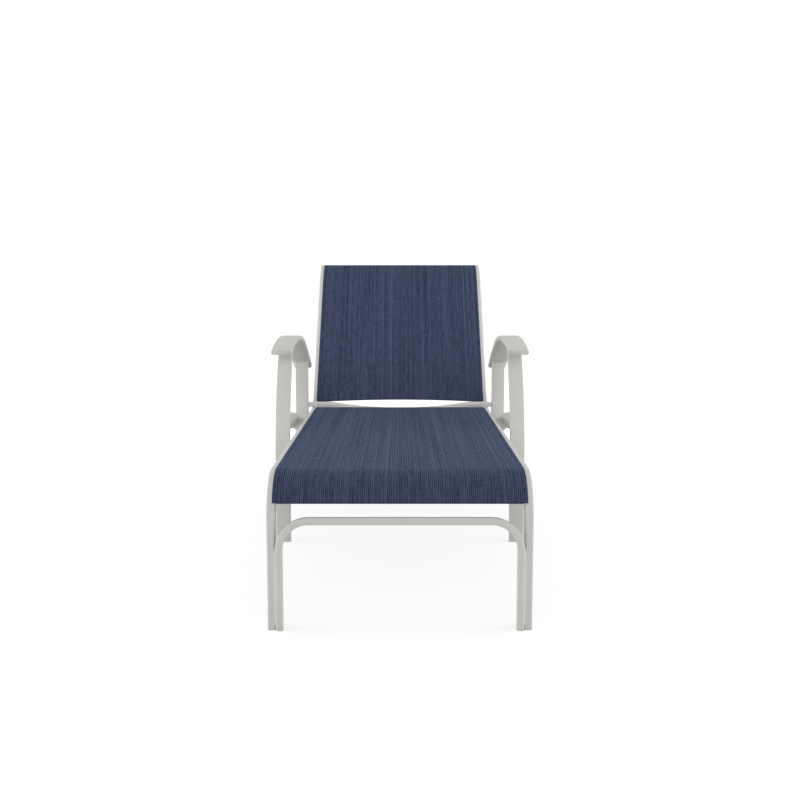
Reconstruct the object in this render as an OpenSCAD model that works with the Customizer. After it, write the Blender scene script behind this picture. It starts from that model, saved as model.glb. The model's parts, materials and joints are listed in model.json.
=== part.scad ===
// Outdoor chaise lounge: sling cloth on an aluminium frame, with arched arms and a reclining back.
// Left and right are as seen from the front. The front faces -Y, the back lies towards +Y.
// The origin is on the floor, in the middle of the outline.

/* [Seat] */
// Width over the seat rails
frame_w = 590; // [520:1:680]
// Height of the rails' top face behind the front bend
seat_h = 349.5; // [300:0.5:420]
// Distance from the front legs' front face to the hinge of the back
hinge_back = 1200; // [1000:1:1300]
// Radius of the front bend, over its outer face
bend_r = 95; // [70:1:140]
// Height of the rails' top face above the front edge of the seat sling
sling_drop = 62; // [40:1:68]
// Height of the hinge axis above the rails' top face
pivot_rise = 8.5; // [6:0.5:14]

/* [Sling rail] */
// Width of the rail
rail_w = 18; // [16:0.5:26]
// Depth of the rail
rail_h = 42; // [34:1:56]
// Corner radius of the rail
rail_r = 4; // [2.5:0.5:6]
// Wall of the rail
rail_wall = 1.8; // [1.4:0.1:2.5]
// Distance from the rail's outer face to the cloth's edge
cloth_inset = 13; // [12:0.5:14]
// Width of the slot that the cloth goes into
slot_w = 2.8; // [2.6:0.1:3.2]
// Diameter of the channel under the slot
channel_d = 7.8; // [7.4:0.1:8.2]

/* [Cloth] */
// Thickness of the sling cloth
cloth_t = 1; // [0.6:0.1:1.1]
// Diameter of the plastic rod in the hem
spline_d = 4.6; // [4:0.1:4.8]
// How far the bottom edge of the back sling is arched up in the middle
arch_rise = 10; // [2:1:30]

/* [Back] */
// Angle of the back above the seat in the rest position
back_angle = 50; // [30:1:60]
// Length from the hinge axis to where the back starts to roll
back_straight = 520; // [400:1:620]
// Radius of the roll at the top
roll_r = 300; // [200:5:500]
// Angle through which the top rolls back
roll_angle = 25; // [10:1:35]

/* [Front brace] */
// Width of the brace tube, seen from the front
brace_w = 17; // [14:0.5:24]
// Depth of the brace tube
brace_d = 16; // [14:0.5:24]
// Height of the top of the brace
brace_h = 257; // [180:1:290]
// Outer radius of its two bends
brace_r = 75; // [50:1:120]
// How far the brace stands out in front of the legs
brace_proud = 6; // [0:0.5:10]

/* [Arm frame] */
// Distance from the front legs' front face to the middle of the front post's foot
post_back = 768; // [650:1:850]
// Distance of the front post from the middle of the chaise
post_x = 346.2; // [320:0.1:420]
// Angle by which the arm frame turns in towards the back
toe_in = 2.27; // [0:0.01:3]
// Width of the posts' flat oval tube
bar_w = 43; // [36:1:52]
// Thickness of the posts' flat oval tube
bar_t = 14; // [12:0.5:18]
// Height at which the front post starts to bow back
bow_start = 250; // [180:1:300]
// Radius of the front post's bow
bow_r = 620; // [500:10:900]
// Width of the arm
arm_w = 60; // [50:1:75]
// Thickness of the arm
arm_t = 15; // [14:0.5:18]
// Height of the arm's crest
arm_h = 603; // [560:1:660]
// Distance of the crest behind the front post's foot
crest_back = 190; // [150:1:230]
// Radius of the arm in front of the crest
arm_front_r = 620; // [500:10:800]
// Angle of the arm in front of the crest
arm_front_angle = 18; // [14:0.5:20]
// Radius of the arm just behind the crest
arm_rear_r = 320; // [280:5:380]
// Angle of the arm just behind the crest
arm_rear_angle = 24.5; // [20:0.5:28]
// Radius of the arm's tail
arm_tail_r = 980; // [800:10:1400]
// Angle of the arm's tail
arm_tail_angle = 10.5; // [9:0.5:12]

/* [Swept legs] */
// Depth of the flat oval tube of the rear legs
leg_d = 50; // [44:1:56]
// Thickness of the rear legs' tube
leg_t = 18; // [16:0.5:22]
// Height of the rear legs' top edge behind the front post
leg_h = 370; // [350:1:385]
// Distance from the post's foot to where the rear leg starts to curve down
leg_straight = 94; // [60:1:130]
// Radius of the rear leg's top edge
leg_r = 770; // [700:5:850]

/* [Tubes] */
// Wall of the flat oval tubes
tube_wall = 2; // [1.5:0.1:2.5]
// Diameter of the hinge tube
hinge_tube_d = 19; // [17:0.5:25]
// How far the hinge tube bows down
hinge_tube_sag = 19.5; // [5:0.5:30]
// Diameter of the other cross tubes
cross_tube_d = 20; // [18:0.5:26]
// How far the cross tubes bow away from the cloth
cross_tube_sag = 19.5; // [10:0.5:30]
// Length of the straight end of each cross tube
tube_end = 40; // [30:1:60]

/* [Back support] */
// Distance from the hinge to the bail's pivot along the back
bail_up = 160; // [140:1:180]
// Depth of the bail's pivot behind the hinge axis
bail_deep = 38; // [34:0.5:40]
// Length of the bail from pivot to bar
bail_len = 210; // [200:1:220]
// Diameter of the bail's bar
bail_d = 16; // [14:0.5:18]
// Diameter of the sleeves on the bar's ends
sleeve_d = 22; // [20:0.5:24]
// Depth of the notches in the racks
notch_depth = 4; // [3:0.5:5]
// Back angles at which the bail has a notch
notch_angles = [0, 17, 33, 50, 62];

/* [Fasteners] */
// Diameter of the hinge studs, seat bolts and bail pins
bolt_d = 8; // [6:0.5:10]
// Diameter of the short tubes between arm frame and rails
spacer_d = 16; // [14:0.5:20]
// Outer diameter of the hinge eyes
eye_d = 22; // [20:0.5:24]
// Height of the plastic glides under the feet
glide_h = 4; // [3:0.5:8]

/* [Hidden] */
$fn = 64;
overrun = 1;
fit_gap = 0.2;
weld_gap = 0.2;
running_gap = 0.05;
cloth_lift = 0.3;
hem_gap = 0.15;
spacer_gap = 0.5;
plug_len = 22;
cap_t = 2.5;
cap_step = 1;
shoulder_t = 3;
eye_gap = 2;
rail_setback = eye_d / 2 + eye_gap + shoulder_t;
bend_spare = 2;
angle_step = 0.001;
angle_tries = 100;
digits = 6;
bend_facets = 360;
trim_w = 1.5 * frame_w;
paint = [0.78, 0.77, 0.75];
cloth_colour = [0.22, 0.26, 0.35];
plastic = [0.62, 0.61, 0.59];
steel = [0.55, 0.56, 0.58];

// The sling rail: the inner face, the keyhole channel and the hollow below it
rail_in = frame_w / 2 - rail_w;
cloth_x = frame_w / 2 - cloth_inset;
slot_gap = (slot_w - 2 * cloth_t) / 2;
slot_x = cloth_x + slot_gap - slot_w;
channel_x = slot_x + channel_d / 2;
channel_deep = rail_wall + channel_d / 2;
hollow_top = channel_deep + channel_d / 2 + rail_wall;
hollow_w = rail_w - 2 * rail_wall;
hollow_h = rail_h - hollow_top - rail_wall;

// The seat in the side plane, measured from the front legs' front face
pivot_z = seat_h + pivot_rise;
rail_run = hinge_back - rail_setback - bend_r;
seat_runs = [[seat_h - bend_r - glide_h], [bend_r, 90], [rail_run]];
back_runs = [[back_straight - rail_setback], [roll_r, roll_angle]];
hem_angle = acos(1 - sling_drop / bend_r);

// The overall depth, from the front brace to the back's end, sets where the middle is
back_end = path_end(back_runs);
rolled = back_angle - roll_angle;
back_end_y = hinge_back + (back_end[1] + rail_setback) * cos(back_angle) + back_end[0] * sin(back_angle);
deepest = back_end_y + (pivot_rise + rail_h) * sin(rolled) + (cap_t + cap_step) * cos(rolled);
front_y = -(deepest - brace_proud) / 2;
hinge_y = front_y + hinge_back;

// The arm frame in its own plane, measured from the middle of the front post's foot
steepest_sine = 0.95;
bow_angle = asin(min(steepest_sine, (arm_h - bow_start) / bow_r));
post_runs = [[bow_start - glide_h], [bow_r, bow_angle]];
arm_angles = [exact_angle(arm_front_angle), exact_angle(arm_rear_angle), arm_tail_angle];
arm_runs = [[arm_front_r, arm_angles[0]], [arm_rear_r, arm_angles[1]], [arm_tail_r, arm_angles[2]]];
arm_tip_y = crest_back - arm_front_r * sin(arm_angles[0]);
arm_tip_z = arm_h - arm_front_r * (1 - cos(arm_angles[0]));
spare_angle = 2;
leg_angle = acos(1 - leg_h / leg_r) + spare_angle;
leg_runs = [[leg_straight], [leg_r, leg_angle]];
leg_centre_z = leg_h - leg_r;
leg_centre_y = post_back + leg_straight * cos(toe_in);
rear_post_y = (hinge_back - post_back) / cos(toe_in);

// The bail: its bar lies on the circle that the racks follow
rack_base = 3;
notch_gap = 0.3;
bar_clearance = 2.6;
path_gap = notch_depth + bar_clearance;
rack_seat_r = leg_r + weld_gap + rack_base;
notch_r = sleeve_d / 2 + notch_gap;
bar_circle_r = rack_seat_r + sleeve_d / 2;
bail_arm_t = 5;
bail_arm_w = 20;
bail_washer_t = 3;
bail_bar_half = post_x - (hinge_back - post_back) * tan(toe_in) + leg_t;
function bail_pivot(angle) = [
    hinge_back + bail_up * cos(angle) + bail_deep * sin(angle),
    pivot_z + bail_up * sin(angle) - bail_deep * cos(angle)];
// Where the bar stands on a circle round the rear leg's centre, for a given angle of the back
function bar_place(angle, r) =
    let (a = bail_pivot(angle), dy = leg_centre_y - a[0], dz = leg_centre_z - a[1])
    let (d = sqrt(dy * dy + dz * dz), open = acos((d * d + bail_len * bail_len - r * r) / (2 * d * bail_len)))
    let (t = atan2(dz, dy) + open)
    [a[0] + bail_len * cos(t), a[1] + bail_len * sin(t)];
rest_bar = bar_place(back_angle, bar_circle_r + path_gap);

seat_bolt_back = 243;
seat_bolt_y = post_back + seat_bolt_back;
seat_bolt_z = seat_h - rail_h / 2;
front_tube_share = 1.6;
front_tube_y = bend_r * front_tube_share;
mid_tube_y = post_back - bar_w;
tube_drop = rail_h / 2;
rear_tube_angle = 40;
lower_tube_up = 70;
upper_tube_share = 0.8;

// Sines and cosines are handed on with six digits. This picks the angle next to a wanted one where
// that rounding doesn't stretch the frame, so that one run meets the next without a step
function six(x) = x == 0 ? 0 : let (s = pow(10, digits - 1 - floor(log(abs(x))))) round(x * s) / s;
function exact_angle(wanted) =
    let (tries = [for (k = [-angle_tries : angle_tries]) wanted + k * angle_step])
    let (slips = [for (t = tries) abs(pow(six(sin(t)), 2) + pow(six(cos(t)), 2) - 1)])
    [for (i = [0 : len(tries) - 1]) if (slips[i] == min(slips)) tries[i]][0];

// The end of a path of runs: [y, z, turn]
function path_end(runs, i = 0, y = 0, z = 0, turn = 0) =
    i >= len(runs) ? [y, z, turn] :
    len(runs[i]) == 1 ?
        path_end(runs, i + 1, y + runs[i][0] * sin(turn), z + runs[i][0] * cos(turn), turn) :
        path_end(runs, i + 1,
            y + runs[i][0] * (cos(turn) - cos(turn + runs[i][1])),
            z + runs[i][0] * (sin(turn + runs[i][1]) - sin(turn)),
            turn + runs[i][1]);

// What comes after a bend is drawn in this frame
module after_bend(size, angle) {
    translate([0, sign(angle) * size, 0])
        rotate([-angle, 0, 0])
        translate([0, -sign(angle) * size, 0])
        children();
}

module with_facets(facets) {
    $fn = facets;
    children();
}

// A bend is drawn a little too long, and its far end is cut off square where the next run starts
module bend(size, angle, facets) {
    sweep_angle = abs(angle) + bend_spare / size * 180 / PI;
    difference() {
        translate([0, sign(angle) * size, 0])
            rotate([-90, 0, 0])
            rotate([0, sign(angle) * 90, 0])
            rotate_extrude(angle = sweep_angle, start = -sweep_angle, $fn = bend_facets)
            translate([size, 0])
            rotate(sign(angle) * 90)
            with_facets(facets)
            children();
        after_bend(size, angle)
            translate([-trim_w / 2, -trim_w / 2, 0])
            cube([trim_w, trim_w, 2 * bend_spare]);
    }
}

// Sweep a flat profile from z = 0 upwards along runs: [length] is straight, [radius, angle] bends
// towards +y when the angle is positive and towards -y when it is negative
module sweep(runs, i = 0) {
    if (i < len(runs)) {
        size = runs[i][0];
        if (len(runs[i]) == 1) {
            linear_extrude(size) children();
            translate([0, 0, size]) sweep(runs, i + 1) children();
        } else {
            bend(size, runs[i][1], $fn) children();
            after_bend(size, runs[i][1]) sweep(runs, i + 1) children();
        }
    }
}

module rounded_rect(w, h, r) {
    translate([r, 0]) square([w - 2 * r, h]);
    translate([0, r]) square([w, h - 2 * r]);
    for (x = [r, w - r], y = [r, h - r]) translate([x, y]) circle(r);
}

// A flat oval or rounded tube section, centred on x, with its outer side at y = 0
module oval(w, h, inset = 0) {
    r = min(w, h) / 2 - inset - running_gap;
    translate([-w / 2 + inset, inset]) rounded_rect(w - 2 * inset, h - 2 * inset, r);
}

module left() mirror([1, 0, 0]) children();

// A straight rod or tube between two distances from the middle, along X
module rod_x(x1, x2, d, bore = 0) {
    translate([x1, 0, 0])
        rotate([0, 90, 0])
        difference() {
            cylinder(d = d, h = x2 - x1);
            if (bore > 0) translate([0, 0, -overrun]) cylinder(d = bore, h = x2 - x1 + 2 * overrun);
        }
}

module at_seat(y, z) translate([0, front_y + y, z]) children();
module at_hinge() at_seat(hinge_back, pivot_z) children();
module both_sides() {
    children();
    left() children();
}

// The sling rail

module rail_outline() translate([rail_in, 0]) rounded_rect(rail_w, rail_h, rail_r);
module rail_hollow(gap = 0) {
    r = rail_r - rail_wall;
    translate([rail_in + rail_wall + gap, hollow_top + gap])
        rounded_rect(hollow_w - 2 * gap, hollow_h - 2 * gap, r);
}
module keyhole() {
    translate([channel_x, channel_deep]) circle(d = channel_d);
    translate([slot_x, -overrun]) square([slot_w, channel_deep + overrun]);
}
module rail_section() {
    difference() {
        rail_outline();
        rail_hollow();
        keyhole();
    }
}

// The cloth lies over the inner lips, goes down through the slots and round the splines
module cloth_section() {
    top = cloth_lift + cloth_t;
    loop_d = spline_d + 2 * hem_gap;
    difference() {
        union() {
            translate([-cloth_x, -top]) square([2 * cloth_x, cloth_t]);
            for (s = [-1, 1]) {
                translate([s * (cloth_x - cloth_t) - cloth_t, -top]) square([2 * cloth_t, top + channel_deep]);
                translate([s * channel_x, channel_deep]) circle(d = loop_d + 2 * cloth_t);
            }
        }
        for (s = [-1, 1]) translate([s * channel_x, channel_deep]) circle(d = loop_d);
    }
}
module spline_section() {
    for (s = [-1, 1]) translate([s * channel_x, channel_deep]) circle(d = spline_d);
}

// A cross tube between the rails, bowed towards -Z in its middle and straight at its ends. One half is
// drawn past the middle, cut there and mirrored
module cross_tube(half, d, sag) {
    turn = exact_angle(2 * atan(sag / (half - tube_end)));
    small_r = 4 * d;
    big_r = (half - tube_end) / sin(turn) - small_r;
    runs = [[tube_end], [small_r, turn], [big_r, -turn - spare_angle]];
    for (side = [0, 1])
        mirror([side, 0, 0])
            difference() {
                translate([-half, 0, 0])
                    rotate([0, 90, 0])
                    rotate(-90)
                    difference() {
                        sweep(runs) circle(d = d);
                        sweep(runs) circle(d = d - 2 * tube_wall);
                    }
                translate([0, -trim_w / 2, -trim_w / 2]) cube(trim_w);
            }
}

// Seat

// Along the seat from the rails' rear ends to the sling's front edge, part of the way down the bend
module along_seat(gap, spare) {
    at_seat(hinge_back - rail_setback - gap, seat_h)
        rotate([-90, 0, 0])
        mirror([0, 0, 1])
        sweep([[rail_run - gap], [bend_r, hem_angle + spare]])
        children();
}
// The keyhole channel runs only as far as the sling, and the front legs are closed
module seat_rail() {
    spare = fit_gap / bend_r * 180 / PI;
    color(paint)
        difference() {
            at_seat(0, glide_h)
                sweep(seat_runs)
                difference() {
                    rail_outline();
                    rail_hollow();
                }
            along_seat(-overrun, spare) keyhole();
            at_seat(seat_bolt_y, seat_bolt_z)
                rod_x(rail_in - overrun, frame_w / 2 + overrun, bolt_d + 2 * running_gap);
        }
}
module seat_rail_right() seat_rail();
module seat_rail_left() left() seat_rail();

module seat_front_tube() {
    color(paint)
        at_seat(front_tube_y, seat_h - tube_drop)
        cross_tube(rail_in - weld_gap, cross_tube_d, cross_tube_sag);
}
module seat_mid_tube() {
    color(paint)
        at_seat(mid_tube_y, seat_h - tube_drop)
        cross_tube(rail_in - weld_gap, cross_tube_d, cross_tube_sag);
}
module hinge_tube() {
    color(paint) at_hinge() cross_tube(rail_in - weld_gap, hinge_tube_d, hinge_tube_sag);
}

module seat_sling() color(cloth_colour) along_seat(fit_gap, 0) cloth_section();
module seat_splines() color(plastic) along_seat(fit_gap, 0) spline_section();

// Front brace: an inverted U of rounded tube between the front legs
brace_half = rail_in - weld_gap;
brace_y = front_y - brace_proud + brace_d / 2;
brace_runs = [[brace_h - brace_r - glide_h], [brace_r, 90], [2 * (brace_half - brace_r)], [brace_r, 90],
    [brace_h - brace_r - glide_h]];
brace_corner = 5;
module brace_section(inset = 0) {
    translate([-brace_d / 2 + inset, inset])
        rounded_rect(brace_d - 2 * inset, brace_w - 2 * inset, brace_corner - inset);
}
module front_brace() {
    color(paint)
        translate([-brace_half, brace_y, glide_h])
        rotate(-90)
        difference() {
            sweep(brace_runs) brace_section();
            sweep(brace_runs) brace_section(tube_wall);
        }
}

// A short straight plug in a bent tube needs more room
cap_plug = plug_len / 2;
function plug_gap(r) = fit_gap + cap_plug * cap_plug / r;

// Plastic glides: a plug in the tube, a pad under it and a smaller step on the floor
module glide(plug) {
    step = cap_step;
    translate([0, 0, step]) linear_extrude(glide_h - step) children(0);
    linear_extrude(step) children(1);
    translate([0, 0, glide_h]) linear_extrude(plug) children(2);
}
module leg_glide() {
    at_seat(0, 0) glide(plug_len) {
        rail_outline();
        translate([rail_in + cap_step, cap_step])
            rounded_rect(rail_w - 2 * cap_step, rail_h - 2 * cap_step, rail_r - cap_step);
        rail_hollow(fit_gap);
    }
}
module leg_glides() color(plastic) both_sides() leg_glide();
module brace_glides() {
    color(plastic)
        both_sides()
        translate([brace_half, brace_y, 0])
        rotate(90)
        glide(plug_len) {
            brace_section();
            brace_section(cap_step);
            brace_section(tube_wall + fit_gap);
        }
}

// Hinge castings: a tongue in the rail's hollow, a shoulder on its end and an eye of half its width
// Drawn with the rail below it: x is across, y is depth below the axis, z runs away from the rail
module knuckle(x1, x2, bore) {
    translate([0, pivot_rise, -rail_setback]) {
        linear_extrude(shoulder_t) rail_outline();
        translate([0, 0, -plug_len]) linear_extrude(plug_len) rail_hollow(fit_gap);
    }
    difference() {
        union() {
            rod_x(x1, x2, eye_d);
            translate([x1, 0, 0])
                rotate([90, 0, 90])
                linear_extrude(x2 - x1)
                polygon([
                    [pivot_rise, shoulder_t - rail_setback],
                    [-eye_d / 2 * cos(30), -eye_d / 2 * sin(30)],
                    [eye_d / 2 * cos(30), -eye_d / 2 * sin(30)],
                    [pivot_rise + rail_h / 2, shoulder_t - rail_setback]]);
        }
        rod_x(x1 - overrun, x2 + overrun, bore);
    }
}
eye_mid = rail_in + rail_w / 2;
bush_wall = 2;
bush_d = bolt_d + 2 * bush_wall;
module seat_knuckle() {
    color(paint)
        at_hinge()
        rotate([-90, 0, 0])
        knuckle(rail_in, eye_mid - fit_gap, bolt_d + 2 * running_gap);
}
module seat_knuckle_right() seat_knuckle();
module seat_knuckle_left() left() seat_knuckle();

// Arm frame

// Places the arm frame's own plane, turned in by toe_in, on the right side
module arm_frame() {
    translate([post_x, front_y + post_back, 0]) rotate(toe_in) children();
}
module arm_sweep(runs = arm_runs) {
    translate([0, arm_tip_y, arm_tip_z])
        rotate([arm_angles[0] - 90, 0, 0])
        sweep(runs) children();
}
module post_sweep() translate([0, -bar_t / 2, glide_h]) sweep(post_runs) children();
module leg_sweep() translate([0, 0, leg_h]) rotate([-90, 0, 0]) sweep(leg_runs) children();

// Everything above the arm's underside, below the rear leg's top edge or in front of the post's back
block = 3 * arm_w;
module above_arm() arm_sweep() translate([-block / 2, -block]) square([block, block + arm_t + weld_gap]);
module below_leg() leg_sweep() translate([-block / 2, -weld_gap]) square([block, block]);
module before_post() {
    post_sweep() translate([-block / 2, -block]) square([block, block + bar_t + weld_gap]);
}
module hinge_bore() {
    at_hinge() rod_x(frame_w / 2, post_x - bar_w / 2, bolt_d + 2 * running_gap);
}

module arm() {
    color(paint)
        arm_frame()
        difference() {
            arm_sweep() oval(arm_w, arm_t);
            arm_sweep() oval(arm_w, arm_t, tube_wall);
        }
}
module arm_right() arm();
module arm_left() left() arm();
arm_end = path_end(arm_runs);
module arm_cap(r) {
    mirror([0, 0, 1]) {
        linear_extrude(cap_t) oval(arm_w, arm_t);
        translate([0, 0, cap_t]) linear_extrude(cap_step) oval(arm_w, arm_t, cap_step);
    }
    linear_extrude(cap_plug) oval(arm_w, arm_t, tube_wall + plug_gap(r));
}
module arm_caps() {
    color(plastic)
        both_sides()
        arm_frame()
        translate([0, arm_tip_y, arm_tip_z])
        rotate([arm_angles[0] - 90, 0, 0]) {
            arm_cap(arm_front_r);
            translate([0, arm_end[0], arm_end[1]])
                rotate([-arm_end[2], 0, 0])
                mirror([0, 0, 1])
                arm_cap(arm_tail_r);
        }
}

module front_post() {
    color(paint)
        arm_frame()
        difference() {
            post_sweep() oval(bar_w, bar_t);
            post_sweep() oval(bar_w, bar_t, tube_wall);
            above_arm();
        }
}
module front_post_right() front_post();
module front_post_left() left() front_post();

module rear_post() {
    low = leg_h / 2;
    color(paint)
        difference() {
            arm_frame()
                difference() {
                    translate([0, rear_post_y - bar_t / 2, low]) linear_extrude(arm_h - low)
                        difference() {
                            oval(bar_w, bar_t);
                            oval(bar_w, bar_t, tube_wall);
                        }
                    above_arm();
                    below_leg();
                }
            hinge_bore();
        }
}
module rear_post_right() rear_post();
module rear_post_left() left() rear_post();

module floor_cut() {
    translate([-block / 2, 0, -block]) cube([block, 4 * leg_h, block + glide_h]);
}
module rear_leg() {
    color(paint)
        difference() {
            arm_frame()
                difference() {
                    leg_sweep() oval(leg_t, leg_d);
                    leg_sweep() oval(leg_t, leg_d, tube_wall);
                    before_post();
                    floor_cut();
                }
            at_seat(seat_bolt_y, seat_bolt_z) rod_x(frame_w / 2, post_x + leg_d, bolt_d + 2 * running_gap);
        }
}
module rear_leg_right() rear_leg();
module rear_leg_left() left() rear_leg();

module post_glides() {
    color(plastic)
        both_sides()
        arm_frame()
        translate([0, -bar_t / 2, 0])
        glide(plug_len) {
            oval(bar_w, bar_t);
            oval(bar_w, bar_t, cap_step);
            oval(bar_w, bar_t, tube_wall + fit_gap);
        }
}
module foot_slab(low, high, inset) {
    intersection() {
        leg_sweep() oval(leg_t, leg_d, inset);
        translate([-block / 2, 0, low]) cube([block, 4 * leg_h, high - low]);
    }
}
module rear_leg_glides() {
    color(plastic)
        both_sides()
        arm_frame() {
            foot_slab(0, cap_step, cap_step);
            foot_slab(cap_step, glide_h, 0);
            foot_slab(glide_h, glide_h + plug_len, tube_wall + fit_gap);
        }
}

// The cross tube between the rear legs ends square, just inside the turned-in legs
function leg_inner_x(y) = post_x - (y - post_back) * tan(toe_in) - leg_t / 2 / cos(toe_in);
rear_tube_r = leg_r - leg_d / 2;
rear_tube_y = leg_centre_y + rear_tube_r * sin(rear_tube_angle);
rear_tube_z = leg_centre_z + rear_tube_r * cos(rear_tube_angle);
module rear_leg_tube() {
    half = leg_inner_x(rear_tube_y + cross_tube_d / 2) - weld_gap;
    color(paint)
        at_seat(rear_tube_y, rear_tube_z)
        rod_x(-half, half, cross_tube_d, cross_tube_d - 2 * tube_wall);
}

// Notched racks on the rear legs' top edge
rack_inset = 2;
rack_w = leg_t - 2 * rack_inset;
rack_margin = 2.2;
function rack_turn(angle) = asin((bar_place(angle, bar_circle_r)[0] - leg_centre_y) / bar_circle_r);
module rack() {
    start = rack_turn(max(notch_angles)) - rack_margin;
    end = rack_turn(min(notch_angles)) + rack_margin;
    color(paint)
        difference() {
            arm_frame()
                translate([0, leg_straight, leg_centre_z])
                rotate([-start, 0, 0])
                translate([0, 0, leg_r + weld_gap])
                rotate([-90, 0, 0])
                sweep([[leg_r + weld_gap, end - start]])
                translate([-rack_w / 2, -rack_base - notch_depth])
                square([rack_w, rack_base + notch_depth]);
            for (angle = notch_angles) {
                bar = bar_place(angle, bar_circle_r);
                at_seat(bar[0], bar[1]) rod_x(frame_w / 2, bail_bar_half + block, 2 * notch_r);
            }
        }
}
module rack_right() rack();
module rack_left() left() rack();

// Fasteners between the arm frames and the seat
spacer_bore = bolt_d + 2 * spacer_gap;
module seat_spacers() {
    end = leg_inner_x(seat_bolt_y + spacer_d / 2) - fit_gap;
    color(paint)
        both_sides()
        at_seat(seat_bolt_y, seat_bolt_z)
        rod_x(frame_w / 2 + fit_gap, end, spacer_d, spacer_bore);
}
head_d = 1.7 * bolt_d;
head_h = 0.5 * bolt_d;
nut_h = 0.8 * bolt_d;
module seat_bolts() {
    outer = leg_inner_x(seat_bolt_y - head_d / 2) + leg_t / cos(toe_in) + fit_gap;
    color(steel)
        both_sides()
        at_seat(seat_bolt_y, seat_bolt_z) {
            rod_x(rail_in - nut_h / 2, outer + head_h / 2, bolt_d);
            rod_x(outer, outer + head_h, head_d);
        }
}
module seat_nuts() {
    color(steel)
        both_sides()
        at_seat(seat_bolt_y, seat_bolt_z)
        difference() {
            translate([rail_in - fit_gap, 0, 0])
                rotate([0, -90, 0])
                cylinder(d = head_d, h = nut_h, $fn = 6);
            rod_x(rail_in - nut_h / 2 - running_gap, rail_in + overrun, bolt_d + 2 * running_gap);
        }
}
post_inner_x = post_x - (hinge_back - post_back) * tan(toe_in) - bar_w / 2 * cos(toe_in);
module hinge_spacers() {
    color(paint)
        both_sides()
        at_hinge()
        rod_x(frame_w / 2 + fit_gap, post_inner_x - fit_gap, spacer_d, spacer_bore);
}
insert_len = tube_end - fit_gap;
stud_end = post_inner_x + bar_w / 2;
module hinge_studs() {
    color(steel)
        both_sides()
        at_hinge() {
            rod_x(rail_in - insert_len / 2, stud_end, bolt_d);
            rod_x(stud_end - bar_t / 2, stud_end, bar_t - 2 * tube_wall - 4 * fit_gap);
        }
}
module hinge_inserts() {
    color(steel)
        both_sides()
        at_hinge()
        rod_x(rail_in - insert_len, rail_in - weld_gap, hinge_tube_d - 2 * tube_wall - 2 * running_gap,
            bolt_d + 2 * running_gap);
}

// Back, drawn in its own frame: the hinge axis at the origin, z along the back and y behind it

module at_back() at_hinge() rotate([back_angle - 90, 0, 0]) children();
module back_sweep() at_back() translate([0, 0, rail_setback]) sweep(back_runs) children();
module on_roll(angle) {
    at_back()
        translate([0, roll_r, back_straight])
        rotate([-angle, 0, 0])
        translate([0, -roll_r, 0])
        children();
}
module back_rail() {
    color(paint)
        difference() {
            back_sweep() translate([0, pivot_rise]) rail_section();
            at_back()
                translate([0, bail_deep, bail_up])
                rod_x(rail_in - overrun, frame_w / 2 + overrun, bolt_d + 2 * running_gap);
        }
}
module back_rail_right() back_rail();
module back_rail_left() left() back_rail();

// Bows away from the cloth, towards the back's rear side
module back_tube() {
    translate([0, pivot_rise + tube_drop, 0])
        rotate([90, 0, 0])
        cross_tube(rail_in - weld_gap, cross_tube_d, cross_tube_sag);
}
module back_top_tube() color(paint) on_roll(roll_angle * upper_tube_share) back_tube();
module back_lower_tube() color(paint) at_back() translate([0, 0, lower_tube_up]) back_tube();

arch_r = (cloth_x * cloth_x + arch_rise * arch_rise) / (2 * arch_rise);
module back_sling() {
    color(cloth_colour)
        difference() {
            back_sweep() translate([0, pivot_rise]) cloth_section();
            at_back()
                translate([0, pivot_rise - cloth_lift - 2 * cloth_t, rail_setback + arch_rise - arch_r])
                rotate([-90, 0, 0])
                cylinder(r = arch_r, h = 3 * cloth_t, $fn = 360);
        }
}
module back_splines() color(plastic) back_sweep() translate([0, pivot_rise]) spline_section();

module back_knuckle() {
    color(paint)
        at_back()
        mirror([0, 0, 1])
        knuckle(eye_mid + fit_gap, frame_w / 2, bush_d + 2 * running_gap);
}
module back_knuckle_right() back_knuckle();
module back_knuckle_left() left() back_knuckle();
module hinge_bushes() {
    color(plastic)
        both_sides()
        at_hinge()
        rod_x(eye_mid + fit_gap, frame_w / 2, bush_d, bolt_d + 2 * running_gap);
}
module back_caps() {
    color(plastic)
        both_sides()
        on_roll(roll_angle)
        translate([0, pivot_rise, 0]) {
            linear_extrude(cap_t) rail_outline();
            translate([rail_in + cap_step, cap_step, cap_t])
                linear_extrude(cap_step)
                rounded_rect(rail_w - 2 * cap_step, rail_h - 2 * cap_step, rail_r - cap_step);
            translate([0, 0, -cap_plug]) linear_extrude(cap_plug) rail_hollow(plug_gap(roll_r));
        }
}

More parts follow.
